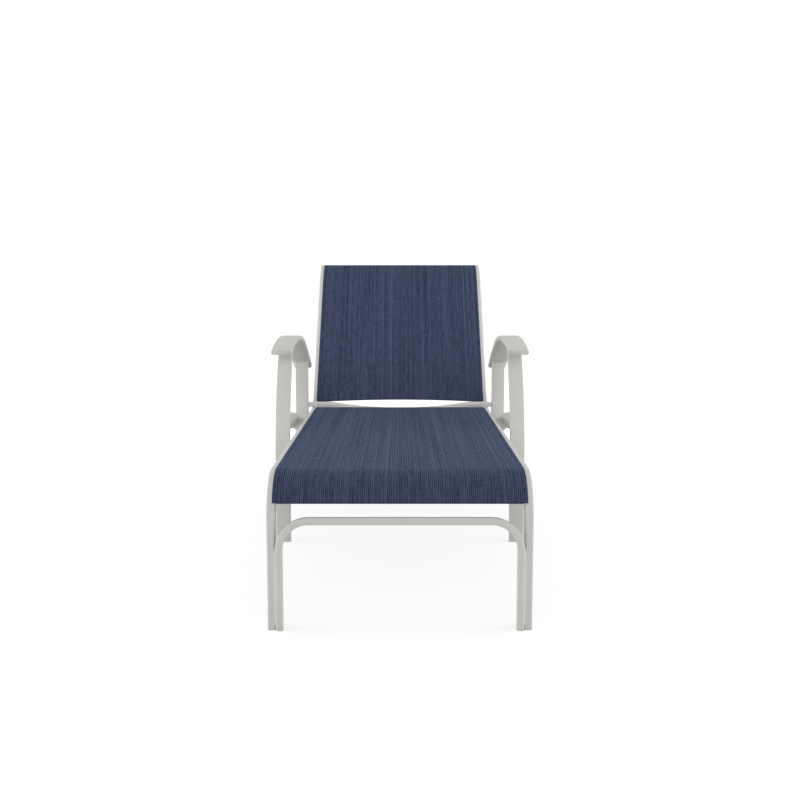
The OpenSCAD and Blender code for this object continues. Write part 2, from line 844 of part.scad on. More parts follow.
// Bail that props the back in the racks
bail_arm_x = rail_in - bail_washer_t - 2 * fit_gap;
module at_bail_pivot() at_back() translate([0, bail_deep, bail_up]) children();
module bail_pins() {
    inner = bail_arm_x - bail_arm_t - fit_gap;
    color(steel)
        both_sides()
        at_bail_pivot() {
            rod_x(inner - head_h, inner, head_d);
            rod_x(inner - head_h / 2, frame_w / 2 + fit_gap + head_h / 2, bolt_d);
            rod_x(frame_w / 2 + fit_gap, frame_w / 2 + fit_gap + head_h / 2, head_d);
        }
}
module bail_washers() {
    color(plastic)
        both_sides()
        at_bail_pivot()
        rod_x(bail_arm_x + fit_gap, bail_arm_x + fit_gap + bail_washer_t, spacer_d, bolt_d + 2 * running_gap);
}
rest_pivot = bail_pivot(back_angle);
bail_lean = atan2(rest_bar[0] - rest_pivot[0], rest_pivot[1] - rest_bar[1]);
module bail() {
    color(paint) {
        difference() {
            at_seat(rest_pivot[0], rest_pivot[1])
                rotate([bail_lean, 0, 0])
                for (s = [-1, 1])
                    translate([s * (bail_arm_x - bail_arm_t / 2) - bail_arm_t / 2, 0, 0]) {
                        translate([0, -bail_arm_w / 2, -bail_len]) cube([bail_arm_t, bail_arm_w, bail_len]);
                        rod_x(0, bail_arm_t, bail_arm_w);
                        translate([0, 0, -bail_len]) rod_x(0, bail_arm_t, bail_arm_w);
                    }
            at_seat(rest_pivot[0], rest_pivot[1]) rod_x(-frame_w / 2, frame_w / 2, bolt_d + 2 * running_gap);
            at_seat(rest_bar[0], rest_bar[1]) rod_x(-frame_w / 2, frame_w / 2, bail_d - tube_wall);
        }
        at_seat(rest_bar[0], rest_bar[1])
            rod_x(-bail_bar_half, bail_bar_half, bail_d, bail_d - 2 * tube_wall);
    }
}
sleeve_len = 1.6 * leg_t;
module bail_sleeves() {
    color(plastic)
        both_sides()
        at_seat(rest_bar[0], rest_bar[1]) {
            rod_x(bail_bar_half - sleeve_len, bail_bar_half, sleeve_d, bail_d + 2 * running_gap);
            rod_x(bail_bar_half + fit_gap, bail_bar_half + fit_gap + cap_t, sleeve_d);
        }
}

seat_rail_left();
seat_rail_right();
seat_front_tube();
seat_mid_tube();
hinge_tube();
front_brace();
seat_sling();
seat_splines();
seat_knuckle_left();
seat_knuckle_right();
arm_left();
arm_right();
arm_caps();
front_post_left();
front_post_right();
rear_post_left();
rear_post_right();
rear_leg_left();
rear_leg_right();
rear_leg_tube();
rack_left();
rack_right();
seat_spacers();
seat_bolts();
seat_nuts();
hinge_spacers();
hinge_studs();
hinge_inserts();
leg_glides();
brace_glides();
post_glides();
rear_leg_glides();
back_rail_left();
back_rail_right();
back_top_tube();
back_lower_tube();
back_sling();
back_splines();
back_knuckle_left();
back_knuckle_right();
hinge_bushes();
back_caps();
bail_pins();
bail_washers();
bail();
bail_sleeves();
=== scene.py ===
# %% [markdown]
# # A sling chaise lounge
#
# The real chaise is a painted aluminium frame that two panels of woven cloth are stretched over.
# The frame comes ready made from the CAD model, in metres and in its final place. What is left for
# this scene is what makes it look real: the camera and the light of the photograph, the cloth, the
# square-edged bars of the arms, the welds, the stitches and the finishes.
#
# Everything lives in one frame: the floor is z = 0, the front faces -Y and X runs across. So a piece
# goes where the CAD says, and a finished piece keeps its object at the origin.

# %% Load the frame
import json
import math
import bmesh
import bpy
from mathutils import Matrix, Vector
from mathutils.bvhtree import BVHTree


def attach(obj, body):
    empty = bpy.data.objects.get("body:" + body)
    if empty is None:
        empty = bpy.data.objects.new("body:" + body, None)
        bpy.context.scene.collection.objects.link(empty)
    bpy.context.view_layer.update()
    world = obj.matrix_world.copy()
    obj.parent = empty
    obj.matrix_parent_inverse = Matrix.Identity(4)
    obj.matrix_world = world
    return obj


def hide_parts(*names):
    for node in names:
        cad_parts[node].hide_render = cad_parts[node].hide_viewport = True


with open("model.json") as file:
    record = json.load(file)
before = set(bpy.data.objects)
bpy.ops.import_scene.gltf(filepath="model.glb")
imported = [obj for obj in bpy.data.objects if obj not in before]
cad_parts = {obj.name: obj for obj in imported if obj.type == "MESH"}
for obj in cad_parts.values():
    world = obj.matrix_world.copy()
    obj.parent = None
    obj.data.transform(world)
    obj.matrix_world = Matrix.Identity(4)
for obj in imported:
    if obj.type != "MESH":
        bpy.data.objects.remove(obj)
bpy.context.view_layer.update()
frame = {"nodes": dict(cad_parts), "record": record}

# %% [markdown]
# ## Camera
#
# The photograph is a straight view from the front, a little above the seat. The lens follows from how
# fast the seat narrows towards the back, and the pitch from how far the level rails climb in the
# picture. Both were worked out from edges whose place on the real frame is known, so the camera is
# set from numbers and not by eye.

# %% The camera
LENS_MM = 45.36
SENSOR_MM = 36
CAMERA_PLACE = (0, -2.9974, 0.7779)
LOOKS_DOWN = math.radians(6.85)

camera_data = bpy.data.cameras.new("studio_camera")
camera_data.lens = LENS_MM
camera_data.sensor_width = SENSOR_MM
camera = bpy.data.objects.new("studio_camera", camera_data)
camera.location = CAMERA_PLACE
camera.rotation_euler = (math.radians(90) - LOOKS_DOWN, 0, 0)
bpy.context.collection.objects.link(camera)
bpy.context.scene.camera = camera
print("camera at", tuple(round(v, 3) for v in camera.location))

# %% [markdown]
# ## Numbers that the pieces share
#
# These repeat the sizes of the frame in metres: where the rails run, where the hinge of the back is,
# and how the rails bend. The cloth follows the rails, so it needs the same path.

# %% Shared sizes
MM = 0.001
FRONT_Y = -827.896 * MM
HINGE_Y = 372.104 * MM
PIVOT_Z = 358 * MM
SEAT_H = 349.5 * MM
BEND_R = 95 * MM
HEM_ANGLE = math.radians(69.674)
BACK_ANGLE = math.radians(50)
LEAN = math.pi / 2 - BACK_ANGLE
PIVOT_RISE = 8.5 * MM
SETBACK = 16 * MM
BACK_STRAIGHT = 520 * MM
ROLL_R = 300 * MM
ROLL_ANGLE = math.radians(25)
RAIL_IN = 277 * MM
CLOTH_X = 282 * MM
CLOTH_T = 1 * MM
CLOTH_OUT = 0.8 * MM
ARCH_RISE = 10 * MM
print("seat to hinge:", round(HINGE_Y - FRONT_Y, 3), "m")

# %% [markdown]
# ## Small helpers
#
# Each new piece starts as a bmesh, gets its shape from mesh operators and becomes an object that
# rides on one body of the frame, so that it moves when the back reclines. Its faces are shaded
# smooth, but a square rim stays sharp, or the shading of a long flat face would bend towards it.
# The other helpers only shorten the building of materials: one adds a node with its values, one
# does a sum, one mixes two colours.

# %% From bmesh to a piece
SHARP_ANGLE = math.radians(60)


def piece_from(bm, name, body, material):
    mesh = bpy.data.meshes.new(name)
    bm.to_mesh(mesh)
    bm.free()
    mesh.materials.append(material)
    for face in mesh.polygons:
        face.use_smooth = True
    mesh.set_sharp_from_angle(angle=SHARP_ANGLE)
    piece = bpy.data.objects.new(name, mesh)
    bpy.context.collection.objects.link(piece)
    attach(piece, body)
    return piece


# %% Short ways to add nodes
def node_of(tree, kind, **values):
    node = tree.nodes.new(kind)
    for key, value in values.items():
        if key in node.inputs:
            node.inputs[key].default_value = value
        else:
            setattr(node, key, value)
    return node


def math_of(tree, operation, *values, clamp=False):
    node = tree.nodes.new("ShaderNodeMath")
    node.operation = operation
    node.use_clamp = clamp
    for place, value in enumerate(values):
        if isinstance(value, (int, float)):
            node.inputs[place].default_value = value
        else:
            tree.links.new(value, node.inputs[place])
    return node.outputs[0]


def mix_of(tree, share, first, second):
    node = tree.nodes.new("ShaderNodeMix")
    node.data_type = "RGBA"
    for place, value in ((0, share), (6, first), (7, second)):
        if isinstance(value, (int, float, tuple)):
            node.inputs[place].default_value = value
        else:
            tree.links.new(value, node.inputs[place])
    return node.outputs[2]


# %% [markdown]
# ## Weave
#
# Sling cloth is woven from vinyl-coated yarn. Close up it is a basket of small bright bumps in
# narrow ribs, and from a step away lighter and darker yarns show as streaks that run along the
# panel, with short thick places in the cross yarns. A painted glint lights up a yarn here and there.
# One group makes all of that from the cloth's own UV map, in metres, so the weave bends with the
# sling. Waves give the yarns and ribs, and stretched noise the streaks and the painted glints.

# %% Helpers for groups and streaks
def new_group(name, inputs, outputs):
    tree = bpy.data.node_groups.new(name, "ShaderNodeTree")
    for label, kind, value in inputs:
        socket = tree.interface.new_socket(label, in_out="INPUT", socket_type="NodeSocket" + kind)
        if value is not None:
            socket.default_value = value
    for label, kind in outputs:
        tree.interface.new_socket(label, in_out="OUTPUT", socket_type="NodeSocket" + kind)
    return tree, tree.nodes.new("NodeGroupInput"), tree.nodes.new("NodeGroupOutput")


def stretched_noise(tree, place, fine_across, fine_along, detail):
    stretch = node_of(tree, "ShaderNodeMapping", Scale=(fine_across, fine_along, 1))
    tree.links.new(place, stretch.inputs["Vector"])
    noise = node_of(tree, "ShaderNodeTexNoise", Scale=1, Detail=detail, Roughness=0.6)
    tree.links.new(stretch.outputs[0], noise.inputs["Vector"])
    return noise.outputs[0]


# %% The weave group
# Each row of streaks: how many to a metre across the cloth, how many along it, and their strength
STREAKS = ((230, 0.7, 1.5), (420, 26, 1.3), (38, 430, 0.9), (20, 1.6, 0.5))
# Painted glints on single yarns: how many to a metre across and along, where the noise starts to show them, and
# their strength
GLINT_SCALES = (80, 0.3)
GLINT_FROM = 0.6
GLINT_STRENGTH = 3.2
RIB_STRENGTH = 0.34
YARN_STRENGTH = 0.3
PLAIN_LEVEL = 0.35
STREAK_RISE = 0.25

weave, weave_in, weave_out = new_group(
    "woven_yarn",
    [("Vector", "Vector", None), ("Yarns per metre", "Float", 620.0), ("Ribs per metre", "Float", 232.0),
     ("Dark", "Color", (0.02, 0.03, 0.06, 1)), ("Light", "Color", (0.2, 0.25, 0.35, 1)),
     ("Streaks", "Float", 0.6)],
    [("Color", "Color"), ("Height", "Float")])
place = weave_in.outputs["Vector"]
parts = node_of(weave, "ShaderNodeSeparateXYZ")
weave.links.new(place, parts.inputs[0])
across, along = parts.outputs[0], parts.outputs[1]
yarn_turns = math_of(weave, "MULTIPLY", weave_in.outputs["Yarns per metre"], math.pi)
wave_across = math_of(weave, "SINE", math_of(weave, "MULTIPLY", across, yarn_turns))
wave_along = math_of(weave, "SINE", math_of(weave, "MULTIPLY", along, yarn_turns))
yarn = math_of(weave, "MULTIPLY_ADD", math_of(weave, "MULTIPLY", wave_across, wave_along), 0.5, 0.5)
rib_turns = math_of(weave, "MULTIPLY", weave_in.outputs["Ribs per metre"], 2 * math.pi)
rib = math_of(weave, "SINE", math_of(weave, "MULTIPLY", across, rib_turns))
streak = math_of(weave, "MULTIPLY", rib, RIB_STRENGTH)
for fine_across, fine_along, strength in STREAKS:
    noise = stretched_noise(weave, place, fine_across, fine_along, 2)
    share = math_of(weave, "MULTIPLY", math_of(weave, "SUBTRACT", noise, 0.5), strength)
    streak = math_of(weave, "ADD", streak, share)
# Painted glints: where a sparse noise is high, single yarns are lightened in the colour as highlights
bright = stretched_noise(weave, place, *GLINT_SCALES, 1)
bright = math_of(weave, "SUBTRACT", bright, GLINT_FROM, clamp=True)
streak = math_of(weave, "ADD", streak, math_of(weave, "MULTIPLY", bright, GLINT_STRENGTH))
streak = math_of(weave, "MULTIPLY", streak, weave_in.outputs["Streaks"])
level = math_of(weave, "MULTIPLY_ADD", yarn, YARN_STRENGTH, PLAIN_LEVEL)
lit = math_of(weave, "ADD", streak, level, clamp=True)
tinted = mix_of(weave, lit, weave_in.outputs["Dark"], weave_in.outputs["Light"])
weave.links.new(tinted, weave_out.inputs["Color"])
height = math_of(weave, "ADD", yarn, math_of(weave, "MULTIPLY", streak, STREAK_RISE))
weave.links.new(height, weave_out.inputs["Height"])
print("weave group:", len(weave.nodes), "nodes")

# %% [markdown]
# ## Sling cloth
#
# The group gives the colour and the bumps. The shine stays in the material: vinyl yarn is fairly
# matt, with a faint blue sheen that lightens the seat where it is seen at a low angle.

# %% The sling materials
NAVY_DARK, NAVY_LIGHT = (0.0072, 0.013, 0.034, 1), (0.066, 0.085, 0.142, 1)
# The hems take a darker copy of the same weave: painted shade at the folded edges
SHADED_HEM_DARK, SHADED_HEM_LIGHT = (0.0065, 0.0112, 0.031, 1), (0.056, 0.072, 0.12, 1)


def sling_material(name, dark, light, streaks):
    material = bpy.data.materials.new(name)
    material.use_nodes = True
    tree = material.node_tree
    shader = tree.nodes["Principled BSDF"]
    shader.inputs["Roughness"].default_value = 0.8
    shader.inputs["Specular IOR Level"].default_value = 0.05
    shader.inputs["Sheen Weight"].default_value = 0.036
    shader.inputs["Sheen Roughness"].default_value = 0.5
    shader.inputs["Sheen Tint"].default_value = (0.5, 0.73, 1, 1)
    where = node_of(tree, "ShaderNodeUVMap", uv_map="cloth")
    cloth = tree.nodes.new("ShaderNodeGroup")
    cloth.node_tree = weave
    tree.links.new(where.outputs[0], cloth.inputs["Vector"])
    cloth.inputs["Dark"].default_value = dark
    cloth.inputs["Light"].default_value = light
    cloth.inputs["Streaks"].default_value = streaks
    bump = node_of(tree, "ShaderNodeBump", Strength=0.55, Distance=0.4 * MM)
    tree.links.new(cloth.outputs["Height"], bump.inputs["Height"])
    tree.links.new(cloth.outputs["Color"], shader.inputs["Base Color"])
    tree.links.new(bump.outputs[0], shader.inputs["Normal"])
    return material


seat_cloth = sling_material("navy_sling", NAVY_DARK, NAVY_LIGHT, 1.0)
# A darker copy of the sling cloth, painted shade for the hems and the frame's cloth parts
shaded_hem_cloth = sling_material("navy_hem_painted_shade", SHADED_HEM_DARK, SHADED_HEM_LIGHT, 0.8)
print("cloth:", seat_cloth.name, shaded_hem_cloth.name)

# %% [markdown]
# ## Powder coat
#
# The frame is sprayed with powder and baked. That leaves a satin skin with a very fine orange peel
# and no brush marks. Its colour is a warm light grey. A second group makes the peel, and a faint
# cloudiness, from Object coordinates, which stay put on a piece that moves. The plastic and steel
# parts and the thread use it at another scale.

# %% The fine grain group
grain, grain_in, grain_out = new_group(
    "fine_grain",
    [("Vector", "Vector", None), ("Scale", "Float", 900.0), ("Base", "Color", (0.5, 0.5, 0.5, 1)),
     ("Shade", "Color", (0.45, 0.45, 0.45, 1)), ("Roughness", "Float", 0.45)],
    [("Color", "Color"), ("Roughness", "Float"), ("Height", "Float")])
peel = node_of(grain, "ShaderNodeTexNoise", Detail=2, Roughness=0.5)
grain.links.new(grain_in.outputs["Vector"], peel.inputs["Vector"])
grain.links.new(grain_in.outputs["Scale"], peel.inputs["Scale"])
cloud = node_of(grain, "ShaderNodeTexNoise", Scale=7, Detail=3, Roughness=0.55)
grain.links.new(grain_in.outputs["Vector"], cloud.inputs["Vector"])
cloud_share = math_of(grain, "SUBTRACT", math_of(grain, "MULTIPLY", cloud.outputs[0], 2.4), 0.8, clamp=True)
clouded = mix_of(grain, cloud_share, grain_in.outputs["Shade"], grain_in.outputs["Base"])
grain.links.new(clouded, grain_out.inputs["Color"])
rough = math_of(grain, "ADD", grain_in.outputs["Roughness"], math_of(grain, "MULTIPLY", peel.outputs[0], 0.1))
grain.links.new(math_of(grain, "SUBTRACT", rough, 0.05), grain_out.inputs["Roughness"])
grain.links.new(peel.outputs[0], grain_out.inputs["Height"])
print("grain group:", len(grain.nodes), "nodes")


# %% Paint, plastic and steel
def grained_material(name, base, shade, roughness, scale, peel_height, metallic=0.0, gloss=0.5):
    material = bpy.data.materials.new(name)
    material.use_nodes = True
    tree = material.node_tree
    shader = tree.nodes["Principled BSDF"]
    shader.inputs["Metallic"].default_value = metallic
    shader.inputs["Specular IOR Level"].default_value = gloss
    where = node_of(tree, "ShaderNodeTexCoord")
    skin = tree.nodes.new("ShaderNodeGroup")
    skin.node_tree = grain
    tree.links.new(where.outputs["Object"], skin.inputs["Vector"])
    skin.inputs["Scale"].default_value = scale
    skin.inputs["Base"].default_value = base
    skin.inputs["Shade"].default_value = shade
    skin.inputs["Roughness"].default_value = roughness
    bump = node_of(tree, "ShaderNodeBump", Strength=0.25, Distance=peel_height)
    tree.links.new(skin.outputs["Height"], bump.inputs["Height"])
    tree.links.new(skin.outputs["Color"], shader.inputs["Base Color"])
    tree.links.new(skin.outputs["Roughness"], shader.inputs["Roughness"])
    tree.links.new(bump.outputs[0], shader.inputs["Normal"])
    return material


WARM_GREY, WARM_GREY_SHADE = (0.518, 0.512, 0.494, 1), (0.5, 0.494, 0.476, 1)
PLUG_GREY, PLUG_GREY_SHADE = (0.52, 0.514, 0.497, 1), (0.49, 0.485, 0.468, 1)
ZINC, ZINC_SHADE = (0.56, 0.57, 0.58, 1), (0.48, 0.49, 0.50, 1)

paint = grained_material("powder_coat", WARM_GREY, WARM_GREY_SHADE, 0.5, 1100, 0.12 * MM, gloss=0.25)
plastic = grained_material("moulded_glide", PLUG_GREY, PLUG_GREY_SHADE, 0.55, 700, 0.15 * MM)
steel = grained_material("zinc_plate", ZINC, ZINC_SHADE, 0.34, 500, 0.05 * MM, metallic=1.0)
# The frame's cloth parts take the hem's darker copy of the cloth, which is painted shade
finishes = {"frame_paint": paint, "plastic": plastic, "steel": steel, "sling_cloth": shaded_hem_cloth}
nodes = frame["nodes"]
for row in frame["record"]["subparts"]:
    node_object = nodes[row["node"]]
    if not node_object.material_slots:
        node_object.data.materials.append(None)
    for held in node_object.material_slots:
        held.material = finishes[row["material_slot"]]

# %% [markdown]
# ## The slings
#
# Each sling is one flat panel whose long edges are sewn round a rod and slid into the rails. The
# cloth can only lie in a smooth sheet between the two rails, a little hollow in the middle, so a
# grid of the cloth's cut size is laid on the path that the rails follow. The grid's rows run across
# and its columns along. The columns are close together at both edges, where the cloth eases down
# over the lip of the rail's slot and is tucked into it.
#
# A path takes the distance along the cloth and gives the point on it and the way its hidden side
# faces. The hollow fades out towards the short edges, and the back's lower edge is cut in a low arch.

# %% Paths of the two slings
def seat_path(v):
    reach = BEND_R + CLOTH_OUT
    arc = reach * HEM_ANGLE
    turn = math.pi / 2 - HEM_ANGLE + min(v, arc) / reach
    y = FRONT_Y + BEND_R - reach * math.cos(turn) + max(0.0, v - arc)
    z = SEAT_H - BEND_R + reach * math.sin(turn)
    return Vector((0, y, z)), Vector((0, math.cos(turn), -math.sin(turn)))


def back_point(behind, along):
    turned = Vector((0, behind * math.cos(LEAN) + along * math.sin(LEAN),
                     along * math.cos(LEAN) - behind * math.sin(LEAN)))
    return turned + Vector((0, HINGE_Y, PIVOT_Z))


def back_path(v):
    rise = PIVOT_RISE - CLOTH_OUT
    straight = BACK_STRAIGHT - SETBACK
    reach = ROLL_R - rise
    if v < straight:
        turn, behind, along = 0, rise, SETBACK + v
    else:
        turn = (v - straight) / reach
        behind, along = ROLL_R - reach * math.cos(turn), BACK_STRAIGHT + reach * math.sin(turn)
    return back_point(behind, along), Vector((0, math.cos(turn + LEAN), -math.sin(turn + LEAN)))


SEAT_FLAT = 1088.8 * MM

seat_len = (BEND_R + CLOTH_OUT) * HEM_ANGLE + SEAT_FLAT
back_len = BACK_STRAIGHT - SETBACK + (ROLL_R - PIVOT_RISE + CLOTH_OUT) * ROLL_ANGLE
print("cloth lengths:", round(seat_len, 3), round(back_len, 3))

# %% Lay a cloth grid on a path
TUCK = 5 * MM
LIP_W = 1.5 * MM
LIP_DROP = 0.35 * MM
EDGE_COLUMNS = (TUCK, 3 * MM, 1.2 * MM, 0.4 * MM, -0.4 * MM, -LIP_W, -5 * MM)
INNER_X = CLOTH_X - 12 * MM
INNER_COLUMNS = 45


def smooth_step(x):
    x = max(0.0, min(1.0, x))
    return x * x * (3 - 2 * x)


def lay_uv(bm, uv, places):
    for face in bm.faces:
        for loop in face.loops:
            loop[uv].uv = places[loop.vert]


def thicken(piece):
    thick = piece.modifiers.new("thickness", "SOLIDIFY")
    thick.thickness = CLOTH_T
    thick.offset = 0


def lay_cloth(name, body, path, length, rows, hollow, arch=0.0, calm=0.12):
    edge = [CLOTH_X + out for out in EDGE_COLUMNS]
    inner = [INNER_X * (1 - 2 * i / (INNER_COLUMNS - 1)) for i in range(INNER_COLUMNS)]
    columns = [-s for s in edge] + inner[::-1] + edge[::-1]
    bm = bmesh.new()
    bmesh.ops.create_grid(bm, x_segments=len(columns) - 1, y_segments=rows, size=1)
    uv = bm.loops.layers.uv.new("cloth")
    places = {}
    for vert in bm.verts:
        s = columns[round((vert.co.x + 1) / 2 * (len(columns) - 1))]
        share = (vert.co.y + 1) / 2
        near = min(abs(s), CLOTH_X)
        lift = arch * (1 - (near / CLOTH_X) ** 2)
        v = lift + (length - lift) * share
        tuck = max(0.0, abs(s) - CLOTH_X)
        if abs(s) > CLOTH_X - LIP_W:
            tuck = max(tuck, LIP_DROP * (1 - (CLOTH_X - near) / LIP_W))
        point, facing = path(v)
        calm_here = smooth_step(v / calm) * smooth_step((length - v) / calm)
        sag = hollow * (1 - (near / CLOTH_X) ** 2) ** 0.8 * calm_here
        places[vert] = (s, v)
        vert.co = point + facing * (sag + tuck) + Vector((math.copysign(near, s), 0, 0))
    lay_uv(bm, uv, places)
    piece = piece_from(bm, name, body, seat_cloth)
    thicken(piece)
    return piece


seat_panel = lay_cloth("seat_cloth", "frame", seat_path, seat_len, 150, 3.5 * MM)
back_panel = lay_cloth("back_cloth", "back", back_path, back_len, 90, 4 * MM, arch=ARCH_RISE, calm=0.2)
for panel, node, length in ((seat_panel, "seat_sling", seat_len), (back_panel, "back_sling", back_len)):
    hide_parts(node)

# %% [markdown]
# ## Hems and stitches
#
# The short edges of each panel are folded under and sewn down with one row of thread. The fold is
# a strip that starts at the panel's edge, goes round a tight half circle and back along the inside.
# It stops short of the rails, because a doubled edge wouldn't fit between cloth and rail. The
# stitches are small flattened beads of thread, a few faces each, since there are hundreds of them.

# %% Fold a hem
FOLD_R = 0.8 * MM
FOLD_ROWS = 8
HEM_W = 20 * MM
HEM_HALF = RAIL_IN - 3 * MM


def edge_of(length, s, at_end, arch):
    return length if at_end else arch * (1 - (min(abs(s), CLOTH_X) / CLOTH_X) ** 2)


def fold_hem(name, body, path, length, at_end, arch=0.0, rows=16):
    bm = bmesh.new()
    bmesh.ops.create_grid(bm, x_segments=48, y_segments=rows, size=1)
    uv = bm.loops.layers.uv.new("cloth")
    places = {}
    way_in = -1 if at_end else 1
    for vert in bm.verts:
        s = vert.co.x * HEM_HALF
        row = round((vert.co.y + 1) / 2 * rows)
        edge = edge_of(length, s, at_end, arch)
        inner = HEM_W * max(0, row - FOLD_ROWS) / (rows - FOLD_ROWS)
        angle = math.pi * min(row, FOLD_ROWS) / FOLD_ROWS
        point, facing = path(edge + way_in * inner)
        along = facing.cross(Vector((1, 0, 0))) * way_in
        bulge = along * FOLD_R * math.sin(angle) + facing * FOLD_R * (1 - math.cos(angle))
        vert.co = point + bulge + Vector((s, 0, 0))
        places[vert] = (s, edge - way_in * (inner + angle * FOLD_R))
    lay_uv(bm, uv, places)
    bmesh.ops.recalc_face_normals(bm, faces=bm.faces)
    # The hem wears the darker copy of the cloth, painted shade
    thicken(piece_from(bm, name, body, shaded_hem_cloth))


fold_hem("seat_front_hem", "frame", seat_path, seat_len, False)
fold_hem("seat_rear_hem", "frame", seat_path, seat_len, True)
fold_hem("back_lower_hem", "back", back_path, back_len, False, arch=ARCH_RISE)
fold_hem("back_top_hem", "back", back_path, back_len, True)
print("hem width:", HEM_W, "m")

# %% Sew the hems down
THREAD, THREAD_SHADE = (0.05, 0.065, 0.11, 1), (0.035, 0.045, 0.08, 1)
STITCH = (1.45 * MM, 0.28 * MM, 0.28 * MM, 1)
STITCH_OUT = 0.6 * MM
STITCH_PITCH = 4 * MM
STITCH_INSET = 16 * MM
STITCHES = int(2 * HEM_HALF / STITCH_PITCH)

thread = grained_material("navy_thread", THREAD, THREAD_SHADE, 0.5, 2500, 0.1 * MM)


def sew(name, body, path, length, at_end, arch=0.0):
    bm = bmesh.new()
    for i in range(STITCHES + 1):
        s = -HEM_HALF + 2 * HEM_HALF * i / STITCHES
        v = edge_of(length, s, at_end, arch) + (-STITCH_INSET if at_end else STITCH_INSET)
        point, facing = path(v)
        place = Matrix.Translation(point + Vector((s, 0, 0)) - facing * STITCH_OUT)
        bmesh.ops.create_icosphere(bm, subdivisions=1, radius=1, matrix=place @ Matrix.Diagonal(STITCH))
    piece_from(bm, name, body, thread)


sew("seat_front_stitches", "frame", seat_path, seat_len, False)
sew("seat_rear_stitches", "frame", seat_path, seat_len, True)
sew("back_lower_stitches", "back", back_path, back_len, False, arch=ARCH_RISE)
sew("back_top_stitches", "back", back_path, back_len, True)
print("stitches in each row:", STITCHES + 1)

# %% [markdown]
# ## Arms
#
# Each arm is a flat bar with small rounded corners that is rolled into an arch: a wide sweep in
# front, a tighter one over the crest and a long reverse sweep down to the tail. So its section is
# drawn once and spun about one centre after the other, which is how a bending roll makes it too.

# %% Flat bars with rounded corners
ARM_W = 59.8 * MM
ARM_T = 15 * MM
ARM_CORNER = 3.6 * MM
ARM_FOOT = Vector((346.2 * MM, FRONT_Y + 768 * MM, 0))
TOE_IN = math.radians(2.27)


def bar_section(width, height, corner):
    bm = bmesh.new()
    bmesh.ops.create_grid(bm, x_segments=1, y_segments=1, size=0.5)
    bmesh.ops.scale(bm, vec=(width, height, 1), verts=bm.verts)
    bmesh.ops.bevel(bm, geom=bm.verts[:], offset=corner, offset_type="OFFSET", segments=6, profile=0.5,
                    affect="VERTICES", material=-1)
    return bm


def bar_outline(width, height, corner):
    bm = bar_section(width, height, corner)
    bmesh.ops.delete(bm, geom=bm.faces[:], context="FACES_ONLY")
    return bm


def in_arm_frame(side):
    return Matrix.Translation((side * ARM_FOOT.x, ARM_FOOT.y, 0)) @ Matrix.Rotation(side * TOE_IN, 4, "Z")


def close_and_place(bm, side):
    bmesh.ops.holes_fill(bm, edges=bm.edges[:], sides=0)
    bmesh.ops.recalc_face_normals(bm, faces=bm.faces)
    bmesh.ops.transform(bm, matrix=in_arm_frame(side), verts=bm.verts)


# %% The arms
CREST_Y = 190 * MM
CREST_Z = 603 * MM
FRONT_R, CREST_R, TAIL_R = 620 * MM, 320 * MM, 980 * MM
FRONT_TURN, CREST_TURN, TAIL_TURN = (math.radians(a) for a in (18, 24.5, 9.6))

front_centre = Vector((0, CREST_Y, CREST_Z - FRONT_R))
crest_centre = Vector((0, CREST_Y, CREST_Z - CREST_R))
tail_centre = crest_centre + (CREST_R - TAIL_R) * Vector((0, math.sin(CREST_TURN), math.cos(CREST_TURN)))
# Each row is a centre, the angle turned about it and the steps that takes
arm_turns = ((front_centre, FRONT_TURN, 24), (crest_centre, CREST_TURN, 32), (tail_centre, TAIL_TURN, 14))


def section_at(centre, reach, angle):
    return (Matrix.Translation(centre) @ Matrix.Rotation(-angle, 4, "X")
            @ Matrix.Translation((0, 0, reach - ARM_T / 2)) @ Matrix.Rotation(math.pi / 2, 4, "X"))


arms = {}
for side, label in ((-1, "left"), (1, "right")):
    bm = bar_outline(ARM_W, ARM_T, ARM_CORNER)
    bmesh.ops.transform(bm, matrix=section_at(front_centre, FRONT_R, -FRONT_TURN), verts=bm.verts)
    rim = bm.verts[:] + bm.edges[:]
    for centre, turn, steps in arm_turns:
        rim = bmesh.ops.spin(bm, geom=rim, cent=centre, axis=(-1, 0, 0), angle=turn, steps=steps)["geom_last"]
    close_and_place(bm, side)
    arm = piece_from(bm, "arm_bar_" + label, "frame", paint)
    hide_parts("arm_" + label)
    arms[label] = arm
    print(arm.name, len(arm.data.polygons), "faces")

# %% [markdown]
# ## Posts
#
# The posts are bars of the same kind, narrower and thinner. The front one stands straight to half its
# height and then bows back into the arm. The rear one is straight, and its foot is sawn off on the
# slant to stand on the swept leg. Both run a little way into the arm, so that no gap can show there.

# %% Front and rear posts
POST_W = 43 * MM
POST_T = 14 * MM
POST_CORNER = 2.8 * MM
POST_LOW = 4 * MM
BOW_START = 250 * MM
BOW_R = 613 * MM
BOW_TURN = math.radians(33.4)
REAR_Y = 432.34 * MM
REAR_LOW = 280 * MM
REAR_HIGH = 505 * MM
SAWN_AT = Vector((0, 425.34 * MM, 295.3 * MM))
SAWN_SLOPE = Vector((0, 0.489, 1))


def verts_in(made):
    return [g for g in made if isinstance(g, bmesh.types.BMVert)]


def straight_post(y, low, high):
    bm = bar_outline(POST_W, POST_T, POST_CORNER)
    bmesh.ops.translate(bm, vec=(0, y, low), verts=bm.verts)
    made = bmesh.ops.extrude_edge_only(bm, edges=bm.edges[:])["geom"]
    bmesh.ops.translate(bm, vec=(0, 0, high - low), verts=verts_in(made))
    return bm, [g for g in made if not isinstance(g, bmesh.types.BMFace)]


def front_post():
    bm, top = straight_post(0, POST_LOW, BOW_START)
    bmesh.ops.spin(bm, geom=top, cent=(0, BOW_R, BOW_START), axis=(-1, 0, 0), angle=BOW_TURN, steps=30)
    return bm


def rear_post():
    bm = straight_post(REAR_Y, REAR_LOW, REAR_HIGH)[0]
    bmesh.ops.bisect_plane(bm, geom=bm.verts[:] + bm.edges[:] + bm.faces[:], plane_co=SAWN_AT,
                           plane_no=SAWN_SLOPE, clear_inner=True)
    return bm


